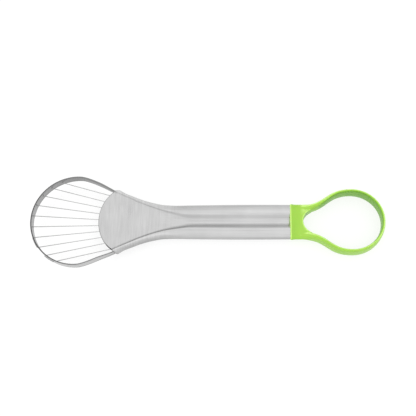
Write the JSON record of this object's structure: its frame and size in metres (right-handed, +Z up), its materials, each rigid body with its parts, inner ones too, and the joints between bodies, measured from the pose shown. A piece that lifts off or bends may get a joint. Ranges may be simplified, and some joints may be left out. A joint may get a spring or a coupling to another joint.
{
  "type": "avocado slicer",
  "caption": "Hand slicer with a wire-strung round head, a formed steel handle flaring into a scoop plate, and a plastic teardrop loop at the other end.",
  "frame": {"origin": "centre of the bounding box in plan, at the level of the flat handle underside", "axes": "+X along the tool from the wire head to the end loop, +Z up out of the grooved face"},
  "size_m": [0.24, 0.063, 0.0125],
  "materials": {
    "handle_steel": "fine cross brushing",
    "rim_steel": "satin",
    "anchor_steel": "dull, as cut",
    "wire_steel": "drawn bright",
    "green_plastic": "satin gloss"
  },
  "bodies": {
    "root": {"handle_upper_shell": "handle_steel", "handle_lower_shell": "handle_steel", "rim_band": "rim_steel", "wire_anchor": "anchor_steel", "slicing_wire_1": "wire_steel", "slicing_wire_2": "wire_steel", "slicing_wire_3": "wire_steel", "slicing_wire_4": "wire_steel", "slicing_wire_5": "wire_steel", "end_loop": "green_plastic"}
  },
  "joints": []
}
